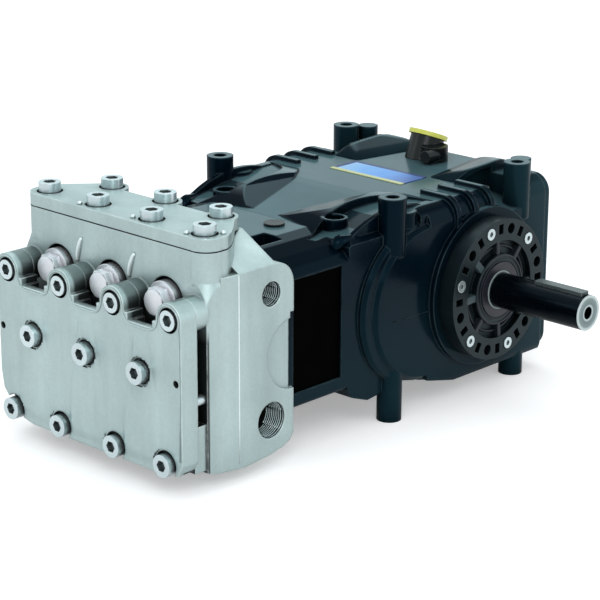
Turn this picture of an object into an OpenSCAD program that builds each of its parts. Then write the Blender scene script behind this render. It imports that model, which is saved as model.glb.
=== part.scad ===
// Triplex plunger pump: crank casing, plunger chamber, valve block and drive shaft.
// Millimetres, Z up. X runs along the crankshaft towards its free end,
// Y runs along the plungers from the valve block towards the crank casing.
// The origin is on the base plane, at the middle of the four foot columns.

/* [Casing] */
// distance between foot columns across the pump
foot_span_x = 298; // [290:1:306]
// distance between foot columns along the plungers
foot_span_y = 244; // [236:1:252]
// height over the foot columns
pump_height = 287; // [282:1:300]
// outer diameter of a column above the casing
foot_d = 35; // [32:0.5:38]
// outer diameter of a column below the casing
lower_foot_d = 31.5; // [28:0.5:31.5]
// bore through each foot column
foot_bore_d = 16; // [12:0.5:18]
// width of the casing across the pump
case_w = 330; // [326:1:336]
// width of the plunger chamber across the pump
chamber_w = 300; // [294:1:304]
// underside of the casing above the base
case_bottom = 26; // [20:1:30]
// top face of the casing above the base
case_top = 264; // [260:1:268]
// rounding of the long casing edges
case_round = 24; // [18:1:30]
// back end of the casing from the origin
case_rear = 164; // [160:1:170]
// front end of the casing body from the origin
case_front = -200; // [-204:1:-196]
// wall of the plunger chamber
chamber_wall = 16; // [12:1:20]
// underside of the plunger chamber above the base
chamber_bottom = 60; // [54:1:66]
// top of the plunger chamber above the base
chamber_top = 252; // [249:1:254]

/* [Shaft] */
// height of the crankshaft axis
shaft_z = 144; // [140:0.5:148]
// crankshaft axis from the origin along the plungers
shaft_y = 35; // [30:0.5:40]
// diameter of the drive end
shaft_d = 45; // [42:0.5:48]
// diameter of the shaft under its seal
journal_d = 50; // [49:0.5:54]
// free length of the drive end in front of its bearing cover
shaft_reach = 138.5; // [120:0.5:150]
// diameter of the shaft inside the casing
shaft_inner_d = 60; // [56:1:64]
// running gap round the shaft, on the radius
running_gap = 0.1; // [0.08:0.01:0.1]
// width of the key
key_w = 14; // [12:0.5:16]
// length of the key
key_len = 72; // [60:1:80]

/* [Bearing covers] */
// outer face of the drive bearing cover from the casing's side
cover_stand = 29.5; // [28:0.5:33]
// diameter of a bearing cover
cover_d = 183; // [180:1:190]
// rim thickness of a bearing cover
cover_t = 22; // [20:0.5:24]
// bolt circle of a bearing cover
cover_pcd = 158; // [154:1:162]
// diameter of the housing behind the cover
housing_d = 206; // [204:1:212]
// outer diameter of the shaft seal
seal_d = 72; // [66:1:76]
// rim thickness of the blind bearing cover
blind_cover_t = 12; // [10:0.5:12]

/* [Valve block] */
// distance between plunger axes
pitch = 92; // [88:0.5:94]
// height of the plunger axes
plunger_z = 144; // [140:0.5:148]
// diameter of a plunger
plunger_d = 36; // [30:1:40]
// half width of the valve block
block_half_w = 162; // [160:0.5:166]
// back face of the valve block from the origin
block_rear = -309; // [-312:0.5:-306]
// front face of the valve block from the origin
block_front = -445; // [-450:0.5:-442]
// underside of the valve block above the base
block_bottom = 19; // [16:1:22]
// height of the side faces above the base
block_side_top = 253; // [248:1:256]
// parting face under the top cover above the base
block_top = 284; // [280:1:288]
// height of the discharge port
outlet_z = 217.5; // [212:0.5:220]
// height of the suction port
inlet_z = 63; // [58:0.5:68]
// ports from the origin along the plungers
port_y = -346; // [-350:0.5:-342]
// bore of the discharge port thread
outlet_d = 30.3; // [29:0.1:33]
// bore of the suction port thread
inlet_d = 44.8; // [43:0.1:48]

/* [Covers and bolts] */
// thickness of the top cover
top_cover_t = 16; // [14:0.5:18]
// thickness of the front cover plate
front_cover_t = 25; // [22:0.5:28]
// free gap between front cover and valve block
front_gap = 18; // [14:0.5:20]
// front row of cover bolts from the block's front face
row_inset = 21.5; // [21:0.5:23]
// distance between the two rows of cover bolts
row_step = 64.5; // [62:0.5:66]
// diameter of a large socket head
head_d = 27; // [24:0.5:28]
// height of a large socket head
head_h = 16; // [14:0.5:18]
// depth of the seats under the top cover bolts
seat_depth = 4.5; // [3:0.5:6]
// height of the front cover ears
ear_z = 214; // [211:0.5:217]
// radius of a front cover ear
ear_r = 20; // [19:0.5:21]
// distance of the outer ears from the middle
ear_outer_x = 140; // [137:0.5:142]

/* [Hidden] */
$fn = 64;
fx = foot_span_x / 2;
fy = foot_span_y / 2;
hw = case_w / 2;
nw = chamber_w / 2;
fin_h = 4;
fit_gap = 0.2;
cover_face_x = hw + cover_stand;
blind_face_x = hw + fin_h + 1 + blind_cover_t;
shaft_end_x = cover_face_x + shaft_reach;
// front end of the openings in the chamber
open_y = block_rear + 12;
gland_d = 64;
key_seat = 5.5;
plug_seat = 26;
plug_xs = [-pitch - 1, 0, pitch + 1];
filler_x = -16.5;
filler_y = 129;
filler_len = 27;
filler_tilt = 22;
screw_x = 94;
screw_y = -166;
screw_z = 246;
boss_z = 260;
ridge_z = 269.6;
rim_z = 269.5;
rim_x = 140.5;
rim_y = -102;
rim_r = 172;
ridge_y = -95;
ridge_r = 330;
hollow_edge = [[104, -226], [99, -208], [91, -188], [85, -168], [81.5, -148], [80, -128], [81, -108],
  [84, -90], [89.5, -73], [98, -58], [111, -47]];
window_l = 84;
window_drop = 50;
plate_w = 123;
plate_l = 51;
peg_x = 148;
peg_z = 112;
peg_d = 13;
gap_face = block_front - front_gap;
cover_front = gap_face - front_cover_t;
cover_hw = block_half_w - 5;
top_face = block_top + top_cover_t;
front_row_y = block_front + row_inset;
rear_row_y = front_row_y + row_step;
row_out = block_half_w - 29;
corner_x = row_out + 2.5;
corner_r = 22;
row_xs = [-row_out, -pitch / 2, pitch / 2, row_out];
back_xs = [-pitch - 1.5, 0, pitch + 1.5];
ear_xs = [-ear_outer_x, -pitch / 2, pitch / 2, ear_outer_x];
mid_xs = [-pitch - 1.5, 0, pitch + 1.5];
low_xs = [-row_out, -pitch / 2 - 1.5, pitch / 2 + 1.5, row_out];
mid_z = shaft_z - 1;
low_z = block_bottom + 21.5;
socket_d = 16.2;

// Helpers

// solid along X between two positions
module along_x(x0, x1, d) {
  translate([x0, 0, 0]) rotate([0, 90, 0]) cylinder(h = x1 - x0, d = d);
}

// solid along Y between two positions
module along_y(y0, y1, d) {
  translate([0, y0, 0]) rotate([-90, 0, 0]) cylinder(h = y1 - y0, d = d);
}

// profile drawn in X and Z, carried along Y between two positions
module sweep_y(y0, y1) {
  translate([0, y1, 0]) rotate([90, 0, 0]) linear_extrude(y1 - y0) children();
}

// profile drawn in Y and Z, carried along X between two positions
module sweep_x(x0, x1) {
  translate([x0, 0, 0]) rotate([90, 0, 90]) linear_extrude(x1 - x0) children();
}

// rounded rectangle between two corners
module round_box(x0, y0, x1, y1, r) {
  translate([x0 + r, y0]) square([x1 - x0 - 2 * r, y1 - y0]);
  translate([x0, y0 + r]) square([x1 - x0, y1 - y0 - 2 * r]);
  for (x = [x0 + r, x1 - r]) for (y = [y0 + r, y1 - r])
    translate([x, y]) circle(r = r);
}

// Crank casing

// raised hood beside a foot column: two slopes from a line on the casing's top up to an arc
module hood(side, y_mid, r, top, x1, line_x, line_y, turn, y0, y1, z0) {
  intersection() {
    translate([0, y_mid, top - r]) along_x(side > 0 ? 0 : -x1, side > 0 ? x1 : 0, 2 * r);
    mirror([side > 0 ? 0 : 1, 0, 0]) intersection() {
      translate([line_x, line_y, 0]) rotate([0, 0, turn]) sweep_y(-220, 220)
        polygon([[-30, 200], [90, 200], [90, top + 4], [72, top + 1], [14, z0 + 5.9], [-30, z0 - 12.6]]);
      translate([-60, y0, 195]) cube([240, y1 - y0, 120]);
    }
  }
}

// hood beside a front foot column: a slope up to a curved ridge, then a hollow and an outer rim
module front_hood(side) mirror([side > 0 ? 0 : 1, 0, 0]) {
  intersection() {
    translate([0, ridge_y, ridge_z - ridge_r]) along_x(0, rim_x, 2 * ridge_r);
    translate([60, -75, 0]) rotate([0, 0, 10]) sweep_y(-220, 220)
      polygon([[-95, 200], [110, 200], [110, 291], [10, 269], [2, 265], [-95, 246]]);
    linear_extrude(320) polygon(concat([[12, -189], [24, -190], [66, -200], [88, -211]], hollow_edge,
      [[rim_x, -38], [rim_x, -26], [110, -27], [92, -34], [80, -46], [60, -75], [30, -134], [16, -176]]));
  }
  intersection() {
    translate([0, rim_y, rim_z - rim_r]) along_x(rim_x - 7, rim_x, 2 * rim_r);
    translate([100, -200, 200]) cube([60, 175, 120]);
  }
}

// hollow of a front hood, with a floor that falls to the front
module front_hollow(side) mirror([side > 0 ? 0 : 1, 0, 0]) intersection() {
  linear_extrude(320) polygon(concat(hollow_edge, [[rim_x - 7, -40], [rim_x - 7, -197]]));
  sweep_x(60, rim_x) polygon([[-240, 244], [-190, 245], [-160, 249], [-120, 257], [-60, 262],
    [-30, 263], [-30, 320], [-240, 320]]);
}

// side of a front hood falls away outside its rim, and the rim's front end follows its arc
module front_side(side) mirror([side > 0 ? 0 : 1, 0, 0]) {
  sweep_y(-290, -fy + 6) polygon([[rim_x, 246], [hw + 20, 224], [hw + 20, 320], [rim_x, 320]]);
  difference() {
    translate([rim_x - 8, case_front - 1, 232]) cube([hw, 61, 90]);
    translate([0, rim_y, rim_z - rim_r]) along_x(0, hw + 60, 2 * rim_r);
  }
}

// pocket open to the side between a hood and its foot column
module pocket(side, y_mid, r, top, x1, z_in, z_out, y0, y1) {
  intersection() {
    translate([0, y_mid, top - r]) along_x(side > 0 ? x1 : -hw - 30, side > 0 ? hw + 30 : -x1, 2 * r);
    mirror([side > 0 ? 0 : 1, 0, 0]) sweep_y(y0, y1)
      polygon([[x1, z_in], [hw + 20, z_out], [hw + 20, top + 5], [x1, top + 5]]);
  }
}

module foot_columns() {
  for (sx = [-1, 1]) for (sy = [-1, 1]) translate([sx * fx, sy * fy, 0]) {
    cylinder(h = case_bottom + 50, d = lower_foot_d);
    translate([0, 0, 214]) cylinder(h = pump_height - 214, d = foot_d);
  }
}

module foot_bores() {
  for (sx = [-1, 1]) for (sy = [-1, 1]) translate([sx * fx, sy * fy, 0]) {
    translate([0, 0, -1]) cylinder(h = pump_height + 2, d = foot_bore_d);
  }
}

// round side of the casing, with a bevelled edge
module drum(y_mid, r, x_half, run) {
  translate([0, y_mid, shaft_z]) rotate([0, 90, 0]) rotate_extrude()
    polygon([[0, -x_half - run], [r - 5 - run, -x_half - run], [r, -x_half + 5], [r, x_half - 5],
      [r - 5 - run, x_half + run], [0, x_half + run]]);
}

// the casing steps out twice behind the plunger chamber
module casing_steps() {
  translate([-nw, case_front, 0]) cube([2 * nw, case_rear - case_front, 320]);
  translate([-hw + 6, -80, 0]) cube([case_w - 12, case_rear + 80, 320]);
  drum(-80, 104, hw - 6, 0);
  translate([-hw - 1, -67.5, 0]) cube([case_w + 2, case_rear + 67.5, 320]);
  drum(-67.5, 100.5, hw, 1);
}

module casing_body() {
  intersection() {
    sweep_y(case_front - 1, case_rear) round_box(-hw, case_bottom - 12, hw, case_top, case_round);
    sweep_x(-hw - 1, hw + 1)
      polygon([[case_front - 1, chamber_bottom], [case_front + 8, 46], [-164, 36], [-146, 38],
        [-110, 50], [-43, 34], [-12, case_bottom], [case_rear, case_bottom], [case_rear, case_top],
        [-66, case_top], [-84, case_top - 1], [case_front - 1, chamber_top]]);
    casing_steps();
  }
}

module crankcase() color([0.03, 0.035, 0.04]) {
  difference() {
    union() {
      difference() {
        union() {
          casing_body();
          sweep_y(block_rear, case_front + 20) {
            polygon([[-nw, 100], [nw, 100], [nw, chamber_top - 30], [nw - 9, chamber_top - 20],
              [nw - 26, chamber_top - 11.5], [nw - 50, chamber_top - 4], [nw - 70, chamber_top],
              [70 - nw, chamber_top], [50 - nw, chamber_top - 4], [26 - nw, chamber_top - 11.5],
              [9 - nw, chamber_top - 20], [-nw, chamber_top - 30]]);
            round_box(-nw, chamber_bottom, nw, chamber_bottom + 80, 5);
          }
          for (s = [-1, 1]) {
            front_hood(s);
            hood(s, 116, 144, 280, 104, 60, 56, 10, 20, case_rear - 0.5, 262.5);
          }
        }
        for (s = [-1, 1]) {
          front_hollow(s);
          front_side(s);
          pocket(s, 116, 136, 272, 96, 240, 226, 58, fy + 4);
        }
      }
      // bearing housings
      translate([0, shaft_y, shaft_z])
        along_x(-blind_face_x + blind_cover_t, cover_face_x - cover_t, housing_d);
      foot_columns();
      // cooling fins on the top edges
      for (sx = [-1, 1]) for (y = [-17, 17, 50])
        intersection() {
          translate([sx > 0 ? hw - 58 : -hw - 5, y - 4, case_top - 50]) cube([63, 8, 56]);
          sweep_y(-30, 80) round_box(-hw - fin_h, case_bottom, hw + fin_h, case_top + 5, case_round);
        }
      // screw bosses in the front pockets and corner bosses at the back
      for (sx = [-1, 1]) {
        translate([sx * screw_x, screw_y, 200]) cylinder(h = boss_z - 200, d = 33);
        translate([sx * (hw - 31.5), case_rear - 14, 220]) cylinder(h = 64, d = 27);
        // short web behind each front column
        translate([sx * (fx - 7), 29 - fy, 210]) cylinder(h = 53, d = 32);
      }
    }
    foot_bores();
    for (sx = [-1, 1]) translate([sx * screw_x, screw_y, screw_z]) cylinder(h = 60, d = 24);
    // crank chamber and bearing bore
    translate([0, shaft_y, shaft_z])
      along_x(-blind_face_x + blind_cover_t - 1, cover_face_x + 1, 2 * running_gap + shaft_inner_d);
    // hollow plunger chamber
    translate([-nw + chamber_wall, block_rear + chamber_wall, chamber_bottom + chamber_wall])
      cube([chamber_w - 2 * chamber_wall, case_front - block_rear - 2 * chamber_wall,
        chamber_top - chamber_bottom - 2 * chamber_wall - 14]);
    // openings over the plungers
    for (x = [-77, 77])
      translate([x - 15, open_y, chamber_top - chamber_wall - 15]) cube([30, 41, chamber_wall + 34]);
    // plunger bores
    for (x = [-pitch, 0, pitch]) translate([x, 0, plunger_z]) {
      along_y(block_rear - 1, block_rear + chamber_wall + 1, gland_d);
      along_y(case_front - chamber_wall - 1, case_front + 40, plunger_d + 20);
    }
    // windows of the chamber
    for (sx = [-1, 1]) translate([sx > 0 ? nw - chamber_wall - 1 : -nw - 1, open_y, chamber_bottom + 18])
      cube([chamber_wall + 2, window_l, chamber_top - chamber_bottom - window_drop]);
  }
}

module plungers() color([0.75, 0.75, 0.72]) {
  for (x = [-pitch, 0, pitch]) translate([x, 0, plunger_z])
    along_y(block_rear - 50, case_front + 30, plunger_d);
}

module gland_housings() color([0.6, 0.62, 0.62]) {
  for (x = [-pitch, 0, pitch]) translate([x, 0, plunger_z]) difference() {
    along_y(block_rear + fit_gap, block_rear + 46, gland_d - 2 * fit_gap);
    along_y(block_rear - 1, block_rear + 47, plunger_d + fit_gap);
  }
}

module side_plate(side) {
  translate([side > 0 ? nw - 9 : -nw + 3, open_y + fit_gap, chamber_bottom + 18 + fit_gap])
    cube([6, window_l - 2 * fit_gap, chamber_top - chamber_bottom - window_drop - 2 * fit_gap]);
}
module side_plate_right() color([0.02, 0.02, 0.02]) side_plate(1);
module side_plate_left() color([0.02, 0.02, 0.02]) side_plate(-1);

module rear_cover() color([0.03, 0.035, 0.04]) {
  sweep_y(case_rear, case_rear + 9) round_box(-hw + 1, case_bottom - 2, hw - 1, case_top - 1, 24);
}

module rear_cover_bolts() color([0.5, 0.5, 0.5]) {
  for (x = [-hw + 37, -hw / 4, hw / 4, hw - 37]) for (z = [case_bottom + 12, case_top - 18])
    translate([x, case_rear + 9, z])
    rotate([-90, 0, 0]) difference() {
      cylinder(h = 8, d = 13);
      translate([0, 0, 4]) cylinder(h = 5, d = 7.5, $fn = 6);
    }
}

// Bearing covers

module bearing_cover(bore) {
  difference() {
    cylinder(h = cover_t, d = cover_d);
    translate([0, 0, -1]) cylinder(h = cover_t + 2, d = bore);
    translate([0, 0, cover_t - 9]) difference() {
      cylinder(h = 10, d = 128);
      translate([0, 0, -1]) cylinder(h = 12, d = 92);
    }
    for (k = [0:5]) rotate([0, 0, k * 60 + 45]) translate([cover_pcd / 2, 0, cover_t - 3])
      cylinder(h = 4, d = 17);
    for (k = [0:5]) rotate([0, 0, k * 60 + 15]) translate([cover_pcd / 2, 0, cover_t - 12])
      cylinder(h = 13, d = 14);
    for (k = [0:5]) for (o = [-15, 15]) rotate([0, 0, k * 60 + 15 + o])
      translate([cover_pcd / 2 - 6.5, -4.5, cover_t - 12]) cube([13, 9, 13]);
  }
}

module drive_bearing_cover() color([0.03, 0.03, 0.035])
  translate([cover_face_x - cover_t, shaft_y, shaft_z]) rotate([90, 0, 90]) bearing_cover(seal_d);

module drive_cover_bolts() color([0.75, 0.76, 0.78])
  translate([cover_face_x - 3, shaft_y, shaft_z]) rotate([90, 0, 90])
    for (k = [0:5]) rotate([0, 0, k * 60 + 45]) translate([cover_pcd / 2, 0, 0]) difference() {
      cylinder(h = 4, d = 15);
      translate([0, 0, 1.5]) cylinder(h = 4, d = 7, $fn = 6);
    }

module shaft_seal() color([0.05, 0.05, 0.06])
  translate([cover_face_x - cover_t, shaft_y, shaft_z]) rotate([90, 0, 90]) difference() {
    cylinder(h = cover_t + 1.5, d = seal_d - fit_gap);
    translate([0, 0, -1]) cylinder(h = cover_t + 4, d = journal_d + 2 * running_gap);
  }

module blind_bearing_cover() color([0.03, 0.03, 0.035])
  translate([-blind_face_x + blind_cover_t, shaft_y, shaft_z]) rotate([90, 0, -90]) difference() {
    cylinder(h = blind_cover_t, d = cover_d);
    translate([0, 0, blind_cover_t - 6]) difference() {
      cylinder(h = 7, d = 128);
      translate([0, 0, -1]) cylinder(h = 12, d = 60);
    }
    for (k = [0:5]) rotate([0, 0, k * 60 + 45]) translate([cover_pcd / 2, 0, blind_cover_t - 3])
      cylinder(h = 4, d = 17);
  }

module blind_cover_bolts() color([0.75, 0.76, 0.78])
  translate([-blind_face_x + 3, shaft_y, shaft_z]) rotate([90, 0, -90])
    for (k = [0:5]) rotate([0, 0, k * 60 + 45]) translate([cover_pcd / 2, 0, 0]) difference() {
      cylinder(h = 4, d = 15);
      translate([0, 0, 1.5]) cylinder(h = 4, d = 7, $fn = 6);
    }

// Shaft

module drive_shaft() color([0.05, 0.05, 0.05])
  translate([0, shaft_y, shaft_z]) difference() {
    union() {
      along_x(-blind_face_x + blind_cover_t + 1, cover_face_x - cover_t - 0.5, shaft_inner_d);
      along_x(0, cover_face_x + 2, journal_d);
      along_x(0, shaft_end_x, shaft_d);
    }
    along_x(shaft_end_x - 10, shaft_end_x + 1, 16);
    translate([shaft_end_x - 6 - key_len, -key_w / 2, shaft_d / 2 - key_seat])
      cube([key_len, key_w, 10]);
  }

module shaft_key() color([0.1, 0.1, 0.1])
  translate([0, shaft_y, shaft_z]) translate([shaft_end_x - 6 - key_len, -key_w / 2, shaft_d / 2 - key_seat])
    cube([key_len, key_w, 3.5 + key_seat]);

// Small parts of the casing

module chamber_plugs() color([0.03, 0.03, 0.03])
  for (sx = [-1, 1]) translate([sx * pitch / 2, case_front - 22, chamber_top]) cylinder(h = 3, d = 26);

module tie_screws() color([0.1, 0.1, 0.1])
  for (sx = [-1, 1]) translate([sx * screw_x, screw_y, screw_z]) difference() {
    cylinder(h = 8, d = 22);
    translate([0, 0, 4]) cylinder(h = 5, d = 12, $fn = 6);
  }

module name_plate() color([0.3, 0.5, 0.8])
  translate([-plate_w / 2, -6, case_top]) cube([plate_w, plate_l, 1]);

// upright boss beside the filler
module filler_boss(grow) {
  translate([filler_x + 25, filler_y - 5, case_top]) cylinder(h = 20, d = 36 + grow);
}

module filler_neck() color([0.02, 0.02, 0.02]) {
  filler_boss(0);
  intersection() {
    translate([filler_x, filler_y, case_top]) rotate([-filler_tilt, 0, 0])
      translate([0, 0, -20]) cylinder(h = 20 + filler_len, d = 46);
    translate([filler_x - 60, filler_y - 60, case_top]) cube([120, 120, 60]);
  }
}

module filler_cap() color([0.85, 0.85, 0.1])
  translate([filler_x, filler_y, case_top]) rotate([-filler_tilt, 0, 0])
    translate([0, 0, filler_len]) cylinder(h = 6, d = 53);

module breather_block() color([0.02, 0.02, 0.02]) difference() {
  translate([filler_x + 33, 0, case_top + 10]) along_y(filler_y - 34, filler_y - 12, 17);
  filler_boss(0);
}

module drain_plug() color([0.1, 0.1, 0.1])
  translate([0, case_rear + 9, case_bottom + 14]) rotate([-90, 0, 0]) cylinder(h = 10, d = 24, $fn = 6);

// Valve block

// plan of the top cover: rounded ends at the front, lobes round the rear bolts
module block_outline() {
  half = [[137, block_front], [142, block_front + 9.5], [157, block_front + 22], [157.3, block_front + 30],
    [156.5, block_front + 35], [149.7, block_front + 47], [138.5, block_front + 61],
    [122, block_front + 79], [106, block_front + 96.5], [98, block_front + 92], [84, block_front + 84]];
  for (x = [-corner_x, corner_x]) translate([x, front_row_y]) circle(r = corner_r);
  for (x = back_xs) translate([x, rear_row_y]) circle(r = 20);
  polygon(concat(half, [for (i = [len(half) - 1:-1:0]) [-half[i][0], half[i][1]]]));
}

module valve_block() color([0.72, 0.75, 0.74]) {
  difference() {
    union() {
      difference() {
        intersection() {
          linear_extrude(block_side_top)
            polygon([[5 - block_half_w, block_front], [block_half_w - 5, block_front],
              [block_half_w, block_front + 46], [block_half_w, block_rear], [-block_half_w, block_rear],
              [-block_half_w, block_front + 46]]);
          sweep_x(-block_half_w - 1, block_half_w + 1)
            polygon([[block_front - 1, block_bottom + 4.5], [block_front + 15, block_bottom],
              [block_front + 55, block_bottom - 2.5], [block_front + 96, block_bottom + 1],
              [block_rear - 16, block_bottom + 6], [block_rear - 6, block_bottom + 11],
              [block_rear + 1, block_bottom + 21], [block_rear + 1, block_side_top + 1],
              [block_front - 1, block_side_top + 1]]);
        }
        // front corners run in to the rounded corners above
        for (s = [-1, 1]) difference() {
          translate([s > 0 ? corner_x : -block_half_w - 1, block_front - 1, 215])
            cube([block_half_w + 1 - corner_x, row_inset + 1, 60]);
          translate([s * corner_x, front_row_y, 214]) cylinder(h = 34, r1 = 34.2, r2 = corner_r);
          translate([s * corner_x, front_row_y, 240]) cylinder(h = 60, r = corner_r);
        }
      }
      // shoulders
      sweep_y(block_front + 46, block_rear - 30)
        polygon([[-block_half_w, 200], [block_half_w, 200], [block_half_w, block_side_top],
          [108, block_top], [-108, block_top], [-block_half_w, block_side_top]]);
      translate([0, 0, block_side_top - 8]) linear_extrude(block_top - block_side_top + 8)
        block_outline();
      // columns behind the ears
      for (x = ear_xs) translate([x, 0, ear_z]) along_y(gap_face, block_front + 1, 2 * ear_r);
      for (x = mid_xs) translate([x, 0, mid_z]) along_y(gap_face, block_front + 1, 48);
      // lower lip
      translate([-155, gap_face, block_bottom + 8]) cube([310, front_gap + 1, 56]);
    }
    // edges at the back
    sweep_x(-block_half_w - 1, block_half_w + 1)
      difference() {
        translate([block_rear - 30, block_side_top - 30]) square([40, 80]);
        translate([block_rear - 30, block_side_top - 30]) circle(r = 30);
        translate([block_rear - 60, block_side_top - 60]) square([60, 30]);
      }
    // ports
    for (sx = [-1, 1]) {
      translate([0, port_y, outlet_z]) along_x(sx > 0 ? block_half_w - 40 : -block_half_w - 1,
        sx > 0 ? block_half_w + 1 : -block_half_w + 40, outlet_d);
      translate([0, port_y, inlet_z]) along_x(sx > 0 ? block_half_w - 40 : -block_half_w - 1,
        sx > 0 ? block_half_w + 1 : -block_half_w + 40, inlet_d);
      // waist behind the side face
      translate([sx > 0 ? nw + 1 : -block_half_w - 1, block_rear - 6, 95])
        cube([block_half_w - nw, 8, 94]);
      // shallow round recess at the back edge
      translate([0, block_rear, 138]) along_x(sx > 0 ? block_half_w - 3 : -block_half_w - 1,
        sx > 0 ? block_half_w + 1 : -block_half_w + 3, 88);
    }
    // galleries that join the ports through the block
    translate([0, port_y, outlet_z]) along_x(-block_half_w + 30, block_half_w - 30, 24);
    translate([0, port_y, inlet_z]) along_x(-block_half_w + 30, block_half_w - 30, 38);
    // pump chambers, valve chambers and the bores behind the valve plugs
    for (x = [-pitch, 0, pitch]) {
      translate([x, 0, plunger_z]) {
        along_y(block_rear - 20, block_rear + 1, plunger_d + 0.4);
        along_y(block_front + 20, block_rear - 14, 58);
      }
      translate([x, port_y, inlet_z]) cylinder(h = outlet_z - inlet_z, d = 54);
      translate([x, 0, outlet_z + 2]) along_y(block_front - 1, port_y, 28);
    }
    // seats round the valve plugs
    for (x = plug_xs) translate([x, 0, outlet_z + 2])
      along_y(block_front - 1, block_front + plug_seat, 53);
  }
}

module top_cover() color([0.74, 0.77, 0.76]) {
  difference() {
    translate([0, 0, block_top]) linear_extrude(top_cover_t) block_outline();
    for (x = row_xs) translate([x, front_row_y, top_face - seat_depth]) cylinder(h = 20, d = head_d + 5);
    for (x = back_xs) translate([x, rear_row_y, top_face - seat_depth]) cylinder(h = 20, d = head_d + 5);
  }
}

module top_cover_front_bolts() color([0.78, 0.8, 0.8])
  for (x = row_xs) translate([x, front_row_y, top_face - seat_depth])
    difference() {
      cylinder(h = head_h, d = head_d);
      translate([0, 0, head_h * 0.5]) cylinder(h = head_h, d = socket_d, $fn = 6);
    }

module top_cover_rear_bolts() color([0.78, 0.8, 0.8])
  for (x = back_xs) translate([x, rear_row_y, top_face - seat_depth])
    difference() {
      cylinder(h = head_h, d = head_d);
      translate([0, 0, head_h * 0.5]) cylinder(h = head_h, d = socket_d, $fn = 6);
    }

// Front cover

module front_outline() {
  polygon([[-cover_hw, 84], [-cover_hw + 4, 62], [-cover_hw + 14, 50], [-cover_hw + 28, 33], [-100, 27],
    [100, 27], [cover_hw - 28, 27], [cover_hw - 4, 31], [cover_hw + 3, 44], [cover_hw + 3, ear_z],
    [-cover_hw, ear_z]]);
  for (x = ear_xs) translate([x, ear_z]) circle(r = ear_r);
}

// notch between two ears
module ear_notch(x, w) {
  translate([x - w / 2 + 6, ear_z - 15]) square([w - 12, 70]);
  translate([x - w / 2, ear_z - 6]) square([w, 70]);
}

module front_cover() color([0.72, 0.75, 0.75]) {
  difference() {
    sweep_y(cover_front, gap_face) difference() {
      front_outline();
      for (k = [0:2]) ear_notch((ear_xs[k] + ear_xs[k + 1]) / 2, ear_xs[k + 1] - ear_xs[k] - 2 * ear_r);
    }
    // the floor of each notch is undercut behind its rim
    for (k = [0:2]) translate([(ear_xs[k] + ear_xs[k + 1]) / 2 - 18, cover_front + 9, ear_z - 30])
      cube([36, 40, 20]);
    for (x = ear_xs) translate([x, 0, ear_z]) along_y(cover_front - 1, cover_front + 14, head_d + 3);
    for (x = low_xs) translate([x, 0, low_z]) along_y(cover_front - 1, cover_front + 8, head_d + 7);
    for (x = mid_xs) translate([x, 0, mid_z]) along_y(cover_front - 1, cover_front + 5, head_d + 4);
    for (x = [-151, 151]) translate([x, 0, mid_z - 1.5]) along_y(cover_front - 1, cover_front + 18, 9);
  }
}

module front_bolt(d) {
  rotate([90, 0, 0]) difference() {
    cylinder(h = head_h, d = d);
    translate([0, 0, head_h * 0.5]) cylinder(h = head_h, d = socket_d * 0.9, $fn = 6);
  }
}

module front_cover_ear_bolts() color([0.6, 0.63, 0.64])
  for (x = ear_xs) translate([x, cover_front + 14, ear_z]) front_bolt(head_d - 3);

module front_cover_middle_bolts() color([0.78, 0.8, 0.8])
  for (x = mid_xs) translate([x, cover_front + 5, mid_z]) front_bolt(head_d);

module front_cover_lower_bolts() color([0.72, 0.75, 0.76])
  for (x = low_xs) translate([x, cover_front + 8, low_z]) front_bolt(head_d);

module valve_plug(x) color([0.75, 0.76, 0.78])
  translate([x, 0, outlet_z + 2]) {
    along_y(block_front - 8, block_front + plug_seat, 45);
    translate([0, block_front - 8, 0]) rotate([90, 0, 0]) cylinder(h = 12, d = 36, $fn = 6);
    along_y(block_front - 22, block_front - 19, 30);
  }
module valve_plug_left() valve_plug(plug_xs[0]);
module valve_plug_middle() valve_plug(plug_xs[1]);
module valve_plug_right() valve_plug(plug_xs[2]);

module spacer_pegs() color([0.75, 0.76, 0.78])
  for (x = [-peg_x, peg_x]) translate([x, 0, peg_z]) along_y(gap_face, block_front, peg_d);

crankcase();
rear_cover();
rear_cover_bolts();
drive_bearing_cover();
drive_cover_bolts();
shaft_seal();
blind_bearing_cover();
blind_cover_bolts();
drive_shaft();
shaft_key();
plungers();
gland_housings();
side_plate_right();
side_plate_left();
chamber_plugs();
tie_screws();
name_plate();
filler_neck();
filler_cap();
breather_block();
drain_plug();
valve_block();
top_cover();
top_cover_front_bolts();
top_cover_rear_bolts();
front_cover();
front_cover_ear_bolts();
front_cover_middle_bolts();
front_cover_lower_bolts();
valve_plug_left();
valve_plug_middle();
valve_plug_right();
spacer_pegs();
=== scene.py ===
import math

import bmesh
import bpy
from mathutils import Matrix, Vector


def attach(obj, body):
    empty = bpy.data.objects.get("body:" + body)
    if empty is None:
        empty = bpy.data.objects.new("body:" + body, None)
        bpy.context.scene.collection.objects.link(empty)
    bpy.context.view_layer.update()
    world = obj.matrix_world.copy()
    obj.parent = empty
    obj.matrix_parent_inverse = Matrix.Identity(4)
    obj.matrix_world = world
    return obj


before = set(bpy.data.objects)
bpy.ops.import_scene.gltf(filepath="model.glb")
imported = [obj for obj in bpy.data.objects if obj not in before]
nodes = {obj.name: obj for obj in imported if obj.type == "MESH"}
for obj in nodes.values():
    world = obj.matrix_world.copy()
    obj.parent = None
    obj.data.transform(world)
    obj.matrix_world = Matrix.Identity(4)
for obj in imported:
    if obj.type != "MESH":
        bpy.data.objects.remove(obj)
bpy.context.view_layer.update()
scene = bpy.context.scene
MM = 0.001
SIDES = (("right", 1), ("left", -1))

# Sizes of the CAD model that the pieces and colours are set by, in millimetres

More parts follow.
